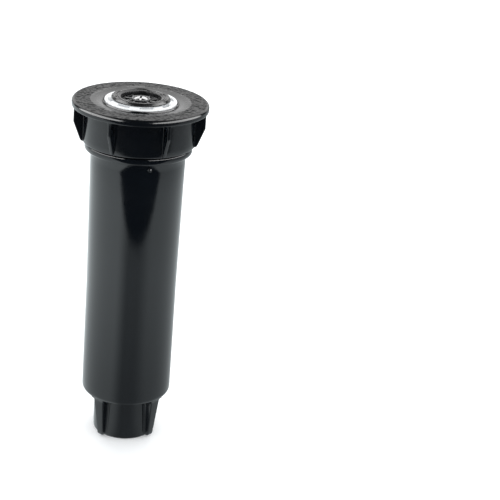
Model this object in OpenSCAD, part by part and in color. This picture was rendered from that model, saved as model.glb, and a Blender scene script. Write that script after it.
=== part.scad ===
// Pop up spray sprinkler. Millimetres, +Z up along the riser's axis.
// Z = 0 is the foot of the inlet, the front of the head faces -Y.

/* [Case] */
// Height from the inlet's foot to the cap's top face
body_h = 152.4; // [152.4:0.1:160]
// Outer radius of the tube over its lower half
tube_r = 19.4; // [19.2:0.1:19.8]
// Outer radius of the tube just under the collar
tube_top_r = 20.05; // [19.9:0.05:20.4]
// Outer radius of the inlet boss
boss_r = 13.75; // [13.2:0.05:14.2]
// Tapping radius of the half inch pipe thread in the inlet
inlet_r = 9.13; // [9.13:0.01:9.2]
// Depth of the inlet's threaded wall
inlet_len = 13.5; // [12:0.5:14]
// Number of wrench lugs round the inlet
lug_count = 4; // [3:1:6]

/* [Cap] */
// Outer radius of the cap's rim
rim_r = 28.575; // [28.2:0.005:29]
// Outer radius of the cap's skirt
skirt_r = 23.8; // [23.7:0.1:24.4]
// Number of gripping fins
fin_count = 7; // [5:1:9]
// Thickness of a gripping fin
fin_t = 1.3; // [1:0.1:1.8]
// Radius of the hole that the riser head rises through
cap_bore_r = 15.45; // [15.4:0.05:15.6]

/* [Cap thread] */
// Rise of the cap's thread in one turn
cap_pitch = 4; // [4:0.1:4.2]
// Turns of ridge on the case's neck
neck_turns = 2.3; // [1.8:0.1:2.4]
// Turns of ridge inside the cap
cap_turns = 2.3; // [1.8:0.1:2.4]

/* [Riser] */
// Outer radius of the rising stem
stem_r = 11.5; // [11.4:0.05:11.5]
// Radius of the stem's bore
stem_bore_r = 9.5; // [9.4:0.05:9.5]
// Outer radius of the castellated head
head_r = 15.1; // [14.9:0.05:15.1]
// Number of lugs round the head
head_lugs = 8; // [6:1:10]
// Number of teeth on each half of the ratchet
ratchet_teeth = 24; // [18:6:30]
// Number of guide ribs in the case
rib_count = 8; // [6:2:8]

/* [Nozzle] */
// Outer radius of the arc collar's flange
flange_r = 12.25; // [12:0.05:12.4]
// Radius of the recess in the flange
recess_r = 8.5; // [8.4:0.05:8.6]
// Number of flutes in the deflector
flute_count = 10; // [8:1:12]

/* [Spring] */
// Wire diameter of the retract spring
wire_d = 1.2; // [1:0.1:1.2]
// Mean radius of the coils
coil_r = 13.4; // [13.2:0.1:13.6]
// Number of coils
coil_count = 9.5; // [8.5:0.5:9.5]

/* [Hidden] */
$fn = 96;
eps = 0.01;
front = -90;                    // turn that brings +X round to the front

// Colours
black_plastic = [0.05, 0.055, 0.06];
nozzle_plastic = [0.09, 0.09, 0.1];
white_plastic = [0.92, 0.92, 0.9];
seal_rubber = [0.12, 0.12, 0.12];
stainless = [0.75, 0.75, 0.76];
filter_plastic = [0.75, 0.78, 0.8];

// Case, from the foot up
foot_z = 1.2;                   // height of the boss's bottom chamfer
boss_foot_r = boss_r - 1.15;
mouth = 1;                      // lead-in chamfer of the inlet
tube_z = 19.2;                  // outside of the tube's floor
floor_t = 2;
floor_z = tube_z + floor_t;
port_r = 8.4;                   // water hole between the inlet and the case
corner_r = 2.4;
case_r = 17.4;                  // inside of the tube
flare_z = 70;                   // the tube widens from here to the collar
collar_z = 131.2;
collar_r = 22.6;
collar_h = 2.8;
neck_r = 20.6;                  // root of the neck's thread
neck_crest_r = 21.8;
neck_bore_r = 18.4;
neck_step_z = 134;              // where the neck's wider bore starts
neck_top = body_h - 5.8;
rib_h = 0.85;
rib_w = 2.4;
rib_top = 131;
rib_turn = 11;                  // keeps the ribs clear of the turned sections' seam
lug_top_r = 17.9;
lug_foot_r = 15.7;
lug_top_w = 5.2;
lug_foot_w = 3;
lug_foot_z = 0.9;
lug_turn = 49;                  // angle of the first lug from the front
pip_turn = 15;
pip_z = 128.6;

// Cap
rim_t = 3.2;
rim_under = body_h - rim_t;
skirt_foot = 134.7;
thread_gap = 0.3;
cap_root_r = neck_crest_r + thread_gap;
cap_crest_r = neck_r + thread_gap + 0.05;
ridge_root_w = 2;
ridge_crest_w = 0.9;
ridge_turn = 7;                 // keeps the ridges' ends clear of the turned sections' seam
ridge_offset = 0.4;             // the neck's ridge lies this much below the cap's middle gap
fin_top_r = 27.9;
fin_waist_z = 143.5;
fin_foot_r = 24.7;
fin_turn = 180 / fin_count;     // the front falls midway between two fins
thread_z = skirt_foot + 2.2;    // lowest ridge in the cap
dish_r = 21;                    // the top falls from here to the lip round the bore
dish_d = 0.7;
lip_w = 0.5;
lip_top = body_h - 0.2;

// Seal pack, held between the case and the cap
gasket_t = 0.8;
retainer_z = 141;
retainer_floor = 1;
retainer_r = 18.1;
retainer_wall = 1.1;
retainer_flange_z = neck_top + gasket_t;
retainer_flange_t = 1;
seal_top = rim_under - 0.1;
lip_gap = 0.05;
seat_t = 0.8;
seat_z = retainer_z - seat_t;

// Riser, from its foot up
foot_gap = 0.15;
foot_seal_t = 1.25;
foot_seal_z = floor_z + foot_gap;
riser_foot_z = foot_seal_z + foot_seal_t;
foot_flange_t = 2.8;
foot_flange_r = 15.6;
stem_foot = riser_foot_z + foot_flange_t;
tooth_h = 1.2;
tooth_gap = 0.2;
tooth_r0 = 12.4;
tooth_r1 = 15.2;
ring_z = stem_foot + 2 * tooth_h + tooth_gap;
ring_h = 3;
ring_r = 17.1;
ring_gap = 0.3;
spring_foot = ring_z + ring_h;
stem_top = body_h - 5.4;

// Head
head_top = body_h + 0.3;        // top of the outer rim
head_foot = body_h - 6.2;
pocket_z = body_h - 0.9;        // floor between the rim and the core
pocket_r = 13.75;
core_r = 12.2;
core_in_r = 11.5;
core_top = body_h + 0.65;
head_lug_w = 3.8;               // lug's width at the rim
head_lug_top_w = 2.2;           // lug's width at the core
head_lug_turn = 34;

// Nozzle
plug_r = 9.42;                  // thread that screws into the stem
plug_foot = stem_top - 9;
base_flange_r = 11.35;
washer_t = 0.6;
base_z = stem_top + washer_t;
base_flange_t = 1.2;
base_top = base_z + 2.6;
base_bore_r = 6.6;
collar_neck_r = 10.6;
collar_foot = base_top + 0.1;
flange_z = body_h + 0.9;
flange_top = body_h + 2;
recess_z = flange_top - 0.6;
collar_bore_r = 7.45;
deflector_r = 7.2;
deflector_t = 1;
rib_top_z = body_h + 0.7;
hub_r = 3.9;
hub_top = body_h + 1;
screw_bore_r = 1.5;
screw_r = 1.42;
screw_head_r = 2.85;
screw_head_z = body_h - 0.05;
screw_head_t = 1.5;
slot_w = 0.8;
slot_d = 0.8;
slot_turn = 84;
screw_foot = plug_foot + 1;
throttle_z = plug_foot + 3.2;
throttle_h = 4;
throttle_r = 4.2;
key_r = 7.1;
key_w = 1.8;
key_gap = 0.2;

// Filter
filter_foot = 96;
filter_r = 8.2;
filter_wall = 1.3;
filter_flange_t = 1.3;
filter_flange_r = 9.35;
filter_ribs = 6;
filter_hoops = 3;
filter_rib_w = 1.5;
filter_top = plug_foot - 0.1;
filter_port_r = 3.4;
mesh_r = filter_r - filter_wall - 0.05;
mesh_t = 0.4;

// Points of an arc, from angle a0 to a1
function arc(x, y, r, a0, a1, n = 5) =
    [for (i = [0:n]) [x + r * cos(a0 + (a1 - a0) * i / n), y + r * sin(a0 + (a1 - a0) * i / n)]];

// Upright ring between two radii
module ring(r_in, r_out, z0, z1) {
    translate([0, 0, z0]) difference() {
        cylinder(r = r_out, h = z1 - z0);
        translate([0, 0, -1]) cylinder(r = r_in, h = z1 - z0 + 2);
    }
}

// Copies its children round the axis, the first at the given turn from the front
module around(count, turn) {
    for (i = [0:count - 1]) rotate([0, 0, front + turn + i * 360 / count]) children();
}

// One step of a screw ridge's depth: it grows and fades over its first and last sections
function ridge_depth(i, n, ramp) = max(0.04, min(1, i / ramp, (n - i) / ramp));

// Right hand screw ridge of trapezoid section, standing from root_r to crest_r
module screw_ridge(root_r, crest_r, pitch, z0, turns, start, seg = 40) {
    n = round(turns * seg);
    side = crest_r > root_r ? 1 : -1;
    points = [for (i = [0:n])
        let (turn = 360 * i / seg,
             z = z0 + pitch * i / seg,
             tip = root_r + (crest_r - root_r) * ridge_depth(i, n, 4))
        for (p = [[root_r, -ridge_root_w], [tip, -ridge_crest_w],
                  [tip, ridge_crest_w], [root_r, ridge_root_w]])
            [p[0] * cos(turn), p[0] * sin(turn), z + side * p[1] / 2]];
    walls = [for (i = [0:n - 1], j = [0:3])
        let (a = 4 * i + j, b = 4 * i + (j + 1) % 4)
        for (face = [[a, b, b + 4], [a, b + 4, a + 4]]) face];
    ends = [[3, 2, 1, 0], [4 * n, 4 * n + 1, 4 * n + 2, 4 * n + 3]];
    rotate([0, 0, start])
        polyhedron(points = points, faces = concat(walls, ends), convexity = 8);
}

// Plan of the inlet's lugs, wide under the tube and narrow at the foot
module lug() {
    intersection() {
        rotate([90, 0, 0]) translate([0, 0, -lug_top_w / 2]) linear_extrude(lug_top_w)
            polygon([[boss_r - 1.5, lug_foot_z], [lug_foot_r - 0.5, lug_foot_z],
                     [lug_foot_r, lug_foot_z + 0.5], [lug_top_r, tube_z + 0.5],
                     [boss_r - 1.5, tube_z + 0.5]]);
        rotate([90, 0, 90]) linear_extrude(lug_top_r + 1)
            polygon([[-lug_foot_w / 2, 0], [lug_foot_w / 2, 0],
                     [lug_top_w / 2, tube_z + 1], [-lug_top_w / 2, tube_z + 1]]);
    }
}

// Walls of the case as one turned section
module case_shell() {
    rotate_extrude() polygon(concat(
        [[inlet_r + mouth, 0], [boss_foot_r, 0]],
        arc(boss_foot_r, foot_z - 0.05, 1.15, -90, 0, 3),
        [[boss_r, tube_z]],
        arc(tube_r - corner_r, tube_z + corner_r, corner_r, -90, 0),
        [[tube_r, flare_z], [tube_top_r, collar_z]],
        arc(collar_r - 0.8, collar_z + 0.8, 0.8, -90, 0, 4),
        arc(collar_r - 0.4, collar_z + collar_h - 0.4, 0.4, 0, 90, 2),
        [[neck_r, collar_z + collar_h], [neck_r, neck_top - 0.4], [neck_r - 0.4, neck_top],
         [neck_bore_r, neck_top], [neck_bore_r, neck_step_z], [case_r, neck_step_z - 2],
         [case_r, floor_z + 1], [case_r - 1, floor_z], [port_r, floor_z],
         [port_r, mouth + inlet_len + 0.8], [inlet_r, mouth + inlet_len], [inlet_r, mouth]]));
}

module case_body() {
    color(black_plastic) {
        case_shell();
        around(lug_count, lug_turn) lug();
        around(rib_count, rib_turn) translate([case_r - rib_h, -rib_w / 2, floor_z - 0.5])
            cube([rib_h + 0.6, rib_w, rib_top - floor_z + 0.5]);
        rotate([0, 0, front + pip_turn]) translate([tube_r - 0.6, 0, pip_z])
            rotate([0, 90, 0]) cylinder(r = 0.8, h = 1.3, $fn = 24);
        screw_ridge(neck_r - 0.3, neck_crest_r, cap_pitch,
                    thread_z - cap_pitch / 4 - ridge_offset, neck_turns, ridge_turn + 90);
    }
}

// Turned section of the cap: rim, roof and skirt
module cap_shell() {
    rotate_extrude() polygon(concat(
        [[cap_bore_r, rim_under], [cap_root_r, rim_under], [cap_root_r, skirt_foot + 1],
         [cap_root_r + 0.4, skirt_foot]],
        arc(skirt_r - 1, skirt_foot + 1, 1, -90, 0, 4),
        [[skirt_r, rim_under - 0.8], [skirt_r + 0.8, rim_under]],
        arc(rim_r - 0.9, rim_under + 0.9, 0.9, -90, 0, 4),
        arc(rim_r - 1.3, body_h - 1.3, 1.3, 0, 90),
        [[dish_r, body_h], [cap_bore_r + lip_w + 0.15, body_h - dish_d],
         [cap_bore_r + lip_w, lip_top - 0.1], [cap_bore_r + lip_w - 0.1, lip_top],
         [cap_bore_r + 0.1, lip_top], [cap_bore_r, lip_top - 0.1]]));
}

module cap() {
    color(black_plastic) {
        cap_shell();
        around(fin_count, fin_turn) rotate([90, 0, 0]) translate([0, 0, -fin_t / 2])
            linear_extrude(fin_t)
            polygon([[skirt_r - 0.8, rim_under + 0.5], [fin_top_r, rim_under + 0.5],
                     [fin_top_r, fin_waist_z], [fin_foot_r, skirt_foot + 0.6],
                     [skirt_r - 0.8, skirt_foot + 0.6]]);
        screw_ridge(cap_root_r + 0.3, cap_crest_r, cap_pitch, thread_z, cap_turns, ridge_turn);
    }
}

// Flat ring between the case's rim and the seal retainer
module cap_gasket() {
    color(seal_rubber) ring(neck_bore_r + 0.2, neck_r - 0.6, neck_top, neck_top + gasket_t);
}

// Stiff cup that carries the wiper seal and takes the spring's pull
module seal_retainer() {
    color(nozzle_plastic) rotate_extrude() polygon([
        [stem_r + 0.9, retainer_z], [retainer_r - 0.5, retainer_z], [retainer_r, retainer_z + 0.5],
        [retainer_r, retainer_flange_z], [neck_r - 0.3, retainer_flange_z],
        [neck_r - 0.3, retainer_flange_z + retainer_flange_t],
        [retainer_r - retainer_wall, retainer_flange_z + retainer_flange_t],
        [retainer_r - retainer_wall, retainer_z + retainer_floor],
        [stem_r + 0.9, retainer_z + retainer_floor]]);
}

// Soft cup with a lip that wipes the stem
module wiper_seal() {
    cup_r = retainer_r - retainer_wall - 0.02;
    foot = retainer_z + retainer_floor;
    brim = retainer_flange_z + retainer_flange_t;
    lip_r = stem_r + lip_gap;
    color(seal_rubber) rotate_extrude() polygon([
        [lip_r + 0.5, foot], [cup_r, foot], [cup_r, brim], [neck_r - 0.5, brim],
        [neck_r - 0.5, seal_top], [cup_r - 1.2, seal_top], [cup_r - 1.4, seal_top - 0.8],
        [cup_r - 1.4, foot + 2.2], [cup_r - 2.2, foot + 1.3], [lip_r + 1.4, foot + 1.3],
        [lip_r + 0.9, foot + 3.2], [lip_r, foot + 3.2], [lip_r, foot + 2.6]]);
}

// Washer that the spring's top coil pushes on
module spring_seat() {
    color(stainless) ring(stem_r + 0.7, coil_r + 2, seat_z, retainer_z);
}

// Height of the wire's middle after a number of turns: one closed coil at each end
function coil_z(turn) =
    let (low = spring_foot + wire_d / 2, high = seat_z - wire_d / 2, lay = wire_d * 1.04,
         open = (high - low - 2 * lay) / (coil_count - 2))
    turn < 1 ? low + lay * turn
    : turn > coil_count - 1 ? high - lay * (coil_count - turn)
    : low + lay + open * (turn - 1);

module retract_spring() {
    seg = 24;
    sides = 8;
    n = round(coil_count * seg);
    points = [for (i = [0:n], j = [0:sides - 1])
        let (turn = 360 * i / seg, r = coil_r + wire_d / 2 * cos(360 * j / sides))
        [r * cos(turn), r * sin(turn), coil_z(i / seg) + wire_d / 2 * sin(360 * j / sides)]];
    walls = [for (i = [0:n - 1], j = [0:sides - 1])
        let (a = sides * i + j, b = sides * i + (j + 1) % sides)
        for (face = [[a, b, b + sides], [a, b + sides, a + sides]]) face];
    ends = [[for (j = [sides - 1:-1:0]) j], [for (j = [0:sides - 1]) sides * n + j]];
    color(stainless) polyhedron(points = points, faces = concat(walls, ends), convexity = 20);
}

// Saw teeth on a flat ring; side 1 points up from z, side -1 points down
module crown_teeth(z, side) {
    pitch_w = 2 * PI * (tooth_r0 + tooth_r1) / 2 / ratchet_teeth * 0.8;
    around(ratchet_teeth, 0) translate([tooth_r0, 0, z]) rotate([90, 0, 90])
        linear_extrude(tooth_r1 - tooth_r0)
        polygon([[-pitch_w / 2, -side * 0.2], [pitch_w / 2, -side * 0.2],
                 [pitch_w / 2, side * tooth_h], [-pitch_w / 2, 0]]);
}

// Toothed ring: it slides on the case's ribs and can't turn
module ratchet_ring() {
    color(nozzle_plastic) {
        difference() {
            ring(stem_r + 0.35, ring_r, ring_z, ring_z + ring_h);
            around(rib_count, rib_turn)
                translate([case_r - rib_h - ring_gap, -rib_w / 2 - ring_gap, ring_z - 1])
                cube([4, rib_w + 2 * ring_gap, ring_h + 2]);
        }
        crown_teeth(ring_z, -1);
    }
}

module riser_stem() {
    color(white_plastic) rotate_extrude() polygon([
        [stem_bore_r, stem_foot], [stem_r, stem_foot], [stem_r, stem_top - 0.4],
        [stem_r - 0.4, stem_top], [stem_bore_r, stem_top]]);
}

// Foot of the riser: a flange too wide for the seal, with the lower ratchet teeth
module riser_foot() {
    spigot_top = stem_foot + 7;
    color(nozzle_plastic) {
        rotate_extrude() polygon([
            [port_r + 0.2, riser_foot_z], [foot_flange_r - 0.6, riser_foot_z],
            [foot_flange_r, riser_foot_z + 0.6], [foot_flange_r, stem_foot - 0.4],
            [foot_flange_r - 0.4, stem_foot], [stem_bore_r - 0.05, stem_foot],
            [stem_bore_r - 0.05, spigot_top - 0.5], [stem_bore_r - 0.4, spigot_top],
            [port_r + 0.2, spigot_top]]);
        crown_teeth(stem_foot, 1);
    }
}

// Soft washer under the riser's foot
module foot_seal() {
    color(seal_rubber) ring(port_r + 1.4, foot_flange_r - 1, foot_seal_z, riser_foot_z);
}

// White collar round the stem's top, with the lugs that a thumb and finger lift it by
module riser_head() {
    color(white_plastic) {
        rotate_extrude() polygon([
            [stem_r + 0.02, head_foot], [head_r - 0.6, head_foot], [head_r, head_foot + 0.6],
            [head_r, head_top - 0.3], [head_r - 0.3, head_top], [pocket_r, head_top],
            [pocket_r, pocket_z], [core_r, pocket_z], [core_r, core_top - 0.2],
            [core_r - 0.2, core_top], [core_in_r, core_top], [core_in_r, base_z + 0.7],
            [stem_r + 0.02, base_z + 0.7]]);
        around(head_lugs, head_lug_turn) intersection() {
            rotate([90, 0, 0]) translate([0, 0, -head_lug_w / 2]) linear_extrude(head_lug_w)
                polygon([[core_r - 0.2, pocket_z - 0.2], [pocket_r + 0.4, pocket_z - 0.2],
                         [pocket_r + 0.4, head_top - 0.01], [core_r - 0.2, core_top - 0.05]]);
            linear_extrude(body_h + 5)
                polygon([[core_r - 0.5, -head_lug_top_w / 2], [pocket_r + 0.5, -head_lug_w / 2],
                         [pocket_r + 0.5, head_lug_w / 2], [core_r - 0.5, head_lug_top_w / 2]]);
        }
    }
}

module nozzle_gasket() {
    color(seal_rubber) ring(plug_r + 0.1, base_flange_r - 0.3, stem_top, base_z);
}

// Part of the nozzle that screws into the stem
module nozzle_base() {
    color(nozzle_plastic) difference() {
        rotate_extrude() polygon([
            [base_bore_r, plug_foot], [plug_r - 0.6, plug_foot], [plug_r, plug_foot + 0.6],
            [plug_r, base_z], [base_flange_r, base_z], [base_flange_r, base_z + base_flange_t],
            [base_flange_r - 0.5, base_z + base_flange_t], [base_flange_r - 0.5, base_top],
            [base_bore_r, base_top]]);
        translate([-key_r - key_gap, -key_w / 2 - key_gap, plug_foot - 1])
            cube([2 * (key_r + key_gap), key_w + 2 * key_gap, 9]);
    }
}

// Flanged ring on top of the nozzle, turned to set the arc
module arc_collar() {
    color(nozzle_plastic) rotate_extrude() polygon(concat(
        [[collar_bore_r, collar_foot], [collar_neck_r, collar_foot],
         [collar_neck_r, flange_z - 0.2], [collar_neck_r + 0.2, flange_z]],
        arc(flange_r - 0.15, flange_z + 0.15, 0.15, -90, 0, 3),
        [[flange_r, flange_z + 0.25], [flange_r - 0.65, flange_top], [flange_r - 0.9, flange_top],
         [recess_r, recess_z], [collar_bore_r, recess_z - 2.2]]));
}

// Fluted middle of the nozzle, with its water slots
module deflector() {
    floor_top = base_top + deflector_t;
    color(nozzle_plastic) difference() {
        union() {
            translate([0, 0, base_top]) cylinder(r = deflector_r, h = deflector_t);
            translate([0, 0, base_top - 3]) cylinder(r = hub_r, h = hub_top - base_top + 3);
            around(flute_count, 0) translate([hub_r - 0.5, -0.35, floor_top - 0.2])
                cube([deflector_r - hub_r, 0.7, rib_top_z - floor_top + 0.2]);
        }
        around(flute_count, 180 / flute_count) translate([hub_r + 0.8, -0.6, base_top - 1])
            cube([1.7, 1.2, deflector_t + 2]);
        translate([0, 0, base_top - 5]) cylinder(r = screw_bore_r, h = 20, $fn = 48);
        translate([0, 0, screw_head_z]) cylinder(r = screw_head_r + 0.2, h = 5, $fn = 48);
    }
}

// Stainless screw: turned from the top, held where it is, it drives the throttle plug
module radius_screw() {
    head_top_z = screw_head_z + 0.05 + screw_head_t;
    color(stainless) difference() {
        rotate_extrude($fn = 64) polygon(concat(
            [[0, screw_foot], [screw_r - 0.4, screw_foot], [screw_r, screw_foot + 0.4],
             [screw_r, screw_head_z + 0.05], [screw_head_r, screw_head_z + 0.05]],
            arc(screw_head_r - 0.5, head_top_z - 0.5, 0.5, 0, 90, 4),
            [[0, head_top_z]]));
        rotate([0, 0, slot_turn]) translate([-5, -slot_w / 2, head_top_z - slot_d])
            cube([10, slot_w, 2]);
    }
}

// Sliding nut of the throttle: two keys stop it turning in the nozzle base
module throttle_plug() {
    color(white_plastic) difference() {
        union() {
            translate([0, 0, throttle_z + 1.4]) cylinder(r = throttle_r, h = throttle_h - 1.4);
            translate([0, 0, throttle_z])
                cylinder(r1 = filter_port_r - 0.6, r2 = throttle_r, h = 1.4 + eps);
            translate([-key_r, -key_w / 2, throttle_z + 2])
                cube([2 * key_r, key_w, throttle_h - 2]);
        }
        translate([0, 0, throttle_z - 1]) cylinder(r = screw_bore_r, h = throttle_h + 2, $fn = 48);
    }
}

// Open frame of the filter, hung under the nozzle
module filter_basket() {
    post_h = filter_top - filter_foot;
    hoop_step = post_h / (filter_hoops + 1);
    color(filter_plastic) {
        ring(filter_port_r, filter_flange_r, filter_top - filter_flange_t, filter_top);
        translate([0, 0, filter_foot]) cylinder(r = filter_r, h = 1.5);
        for (i = [1:filter_hoops])
            ring(filter_r - filter_wall, filter_r, filter_foot + i * hoop_step - 0.6,
                 filter_foot + i * hoop_step + 0.6);
        around(filter_ribs, 0) translate([filter_r - filter_wall, -filter_rib_w / 2, filter_foot])
            cube([filter_wall - 0.12, filter_rib_w, post_h - 0.5]);
    }
}

module filter_mesh() {
    color(white_plastic)
        ring(mesh_r - mesh_t, mesh_r, filter_foot + 1.5, filter_top - filter_flange_t);
}

case_body();
cap();
cap_gasket();
seal_retainer();
wiper_seal();
spring_seat();
retract_spring();
ratchet_ring();
riser_stem();
riser_foot();
foot_seal();
riser_head();
nozzle_gasket();
nozzle_base();
arc_collar();
deflector();
radius_screw();
throttle_plug();
filter_basket();
filter_mesh();
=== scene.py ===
import bpy
import numpy as np
from mathutils import Matrix, Vector


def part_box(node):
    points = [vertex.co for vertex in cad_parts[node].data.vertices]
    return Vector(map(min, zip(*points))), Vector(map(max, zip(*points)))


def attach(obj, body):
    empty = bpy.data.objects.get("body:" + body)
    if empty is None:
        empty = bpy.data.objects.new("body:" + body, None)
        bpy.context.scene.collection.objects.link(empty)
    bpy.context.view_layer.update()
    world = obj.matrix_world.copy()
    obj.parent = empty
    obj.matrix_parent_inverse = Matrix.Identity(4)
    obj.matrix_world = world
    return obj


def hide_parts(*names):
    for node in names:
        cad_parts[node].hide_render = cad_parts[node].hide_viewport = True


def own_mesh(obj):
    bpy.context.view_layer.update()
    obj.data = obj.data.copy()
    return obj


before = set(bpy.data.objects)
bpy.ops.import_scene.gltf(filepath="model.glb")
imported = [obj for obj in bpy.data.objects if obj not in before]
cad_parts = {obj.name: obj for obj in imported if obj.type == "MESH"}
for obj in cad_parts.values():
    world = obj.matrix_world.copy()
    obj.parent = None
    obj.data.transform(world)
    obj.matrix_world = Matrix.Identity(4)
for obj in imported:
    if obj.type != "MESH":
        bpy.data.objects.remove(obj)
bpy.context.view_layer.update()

# ---- Case -------------------------------------------------------------------------------
# The black ABS tube that stays in the ground, moulded in one shot with its inlet boss, the
# four lugs a wrench grips, the female pipe thread and the neck that the cap screws onto.
# Lengths are millimetres until a mesh is made.


def rounded(corners, steps=5):
    """Closed outline through corners (radius, height, fillet). A corner becomes the arc that
    touches both its edges: its centre lies on the bisector, fillet over the sine of the half
    angle away, and its points turn evenly from one touching point to the other."""
    c = np.array(corners, float)
    p, fillet = c[:, :2], c[:, 2:3]
    u, v = np.roll(p, 1, 0) - p, np.roll(p, -1, 0) - p
    lu = np.linalg.norm(u, axis=1, keepdims=True)
    lv = np.linalg.norm(v, axis=1, keepdims=True)
    u, v = u / lu, v / lv
    half = np.arccos(np.clip((u * v).sum(1, keepdims=True), -0.99999, 0.99999)) / 2
    reach = np.minimum(fillet / np.tan(half), 0.49 * np.minimum(lu, lv))
    centre = p + (u + v) / np.linalg.norm(u + v, axis=1, keepdims=True) * reach / np.cos(half)
    k = np.linspace(0, 1, steps + 1)[None, :, None]
    turn = (np.pi - 2 * half)[:, None]
    first, last = (p + u * reach - centre)[:, None], (p + v * reach - centre)[:, None]
    arcs = centre[:, None] + (np.sin((1 - k) * turn) * first + np.sin(k * turn) * last) / np.sin(turn)
    arcs = arcs.reshape(-1, 2)
    return arcs[np.linalg.norm(arcs - np.roll(arcs, 1, 0), axis=1) > 1e-3]


def divided(outline, step, fine=None, fine_step=None):
    """The outline with each edge cut into equal parts no longer than step, or than fine_step
    where fine says so of the edge's middle."""
    after = np.roll(outline, -1, 0)
    middle = (outline + after) / 2
    longest = np.full(len(outline), float(step))
    if fine is not None:
        longest[fine(middle[:, 0], middle[:, 1])] = fine_step
    parts = np.maximum(1, np.ceil(np.linalg.norm(after - outline, axis=1) / longest)).astype(int)
    edge = np.repeat(np.arange(len(outline)), parts)
    share = (np.arange(len(edge)) - (np.cumsum(parts) - parts)[edge]) / parts[edge]
    return outline[edge] + (after - outline)[edge] * share[:, None]


def turned(outline, angles=192, shape=None):
    """Grid of points: the outline (radius, height) at every angle, x the radius times the
    angle's cosine and y times its sine. angles is a list, or how many even ones there are.
    shape may first move radius, angle and height."""
    if np.isscalar(angles):
        angles = np.linspace(0, 2 * np.pi, angles, endpoint=False)
    a, r = np.meshgrid(angles, outline[:, 0], indexing="ij")
    z = np.broadcast_to(outline[:, 1], r.shape)
    if shape:
        r, a, z = shape(r, a, z)
    return np.stack([r * np.cos(a), r * np.sin(a), z + 0 * r], -1)


def made(name, shells, finish, body, nodes, crease=38):
    """A piece from closed shells. A shell is (grid of points, ring): four sided faces join
    neighbours in both directions, the columns run round, and the rows run round too if ring
    is true, or else each end row is closed with one face. Faces are turned outwards by the
    sign of the volume, the sum of p0 . (p1 x p2) over the faces."""
    points, faces, start = [], [], 0
    for grid, ring in shells:
        rows, columns = grid.shape[:2]
        index = np.arange(rows * columns).reshape(rows, columns)
        if ring:
            index = np.vstack([index, index[:1]])
        low, high = index[:-1], index[1:]
        quads = np.stack([low, np.roll(low, -1, 1), np.roll(high, -1, 1), high], -1).reshape(-1, 4)
        flat = grid.reshape(-1, 3)
        p = flat - flat.mean(0)
        a, b, c, d = (p[quads[:, k]] for k in range(4))
        volume = (a * (np.cross(b, c) + np.cross(c, d))).sum()
        ends = [] if ring else [index[0][::-1], index[-1]]
        if volume < 0:
            quads, ends = quads[:, ::-1], [e[::-1] for e in ends]
        faces += (quads + start).tolist() + [(e + start).tolist() for e in ends]
        points.append(flat)
        start += len(flat)
    mesh = bpy.data.meshes.new(name)
    mesh.from_pydata((np.vstack(points) * 0.001).tolist(), [], faces)
    mesh.shade_smooth()
    mesh.set_sharp_from_angle(angle=np.radians(crease))
    mesh.materials.append(finish)
    piece = bpy.data.objects.new(name, mesh)
    bpy.context.scene.collection.objects.link(piece)
    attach(piece, body)
    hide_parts(*nodes)
    return piece


def near(x, low, high, soft):
    """1 between low and high, falling to 0 over a length soft outside them."""
    k = np.clip(np.minimum(x - low, high - x) / soft + 1, 0, 1)
    return k * k * (3 - 2 * k)


def ridge(a, z, start, foot, pitch, turns, root, crest):
    """Height, 0 to 1, of a right hand screw ridge at angle a and height z: its middle rises
    pitch a turn from foot at the angle start, it is crest to either side at full height and
    root at its base, and it fades over a tenth of a turn at both ends."""
    share = (a - start) / (2 * np.pi) % 1
    turn = share + np.clip(np.round((z - foot) / pitch - share), 0, np.floor(turns - share))
    away = np.abs(z - foot - pitch * turn)
    fade = np.clip(np.minimum(turn, turns - turn) / 0.1, 0, 1)
    return np.clip((root - away) / (root - crest), 0, 1) * fade


def facing(turn, out, side, up):
    """Points out from the axis and to one side, turned turn radians from the front to the
    right: x and y are sums of out and side by the turn's sine and cosine."""
    x, y = out * np.sin(turn) + side * np.cos(turn), side * np.sin(turn) - out * np.cos(turn)
    return np.stack(np.broadcast_arrays(x, y, up), -1)


def gusset(z, inner, outer, half, turn, fillet, tip, steps=5):
    """Shell of an upright fin, turn radians from the front to the right. At each height z the
    outline leaves the wall at inner, runs out along one side, round the tip at outer and back.
    A side stands half from the middle, plus a quarter circle of radius fillet at its root."""
    z, inner, outer, half = (x[:, None] for x in np.broadcast_arrays(
        np.asarray(z, float), inner, outer, half))
    k = np.linspace(0, 1, steps + 1)
    run = np.concatenate([k * 0.999, [2.2, 4, 8]])[None]
    along = np.minimum(run * fillet, np.maximum(outer - tip - inner, 0.01) * run / run.max())
    flare = fillet - np.sqrt(np.clip(fillet**2 - np.clip(fillet - along, 0, None) ** 2, 0, None))
    bend = np.linspace(0, np.pi / 2, steps + 1)[None]
    nose = np.minimum(tip, half)
    side_x, side_y = inner + along, half + flare
    tip_x, tip_y = outer - nose + nose * np.sin(bend), half - nose + nose * np.cos(bend)
    x = np.hstack([side_x, tip_x, tip_x[:, ::-1], side_x[:, ::-1]])
    y = np.hstack([side_y, tip_y, -tip_y[:, ::-1], -side_y[:, ::-1]])
    return facing(turn, x, y, z)


def node(tree, kind, inputs={}, **settings):
    """A shader node. An input is a number, a colour or another node's output."""
    made_node = tree.nodes.new("ShaderNode" + kind)
    for key, value in settings.items():
        setattr(made_node, key, value)
    for key, value in inputs.items():
        if isinstance(value, bpy.types.NodeSocket):
            tree.links.new(value, made_node.inputs[key])
        else:
            made_node.inputs[key].default_value = value
    return made_node


def ramp(tree, factor, stops):
    """Colour that runs between two stops (place, colour) as factor goes from 0 to 1."""
    found = node(tree, "ValToRGB", {"Fac": factor})
    for element, (place, colour) in zip(found.color_ramp.elements, stops):
        element.position, element.color = place, (*colour, 1)
    return found.outputs["Color"]


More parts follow.
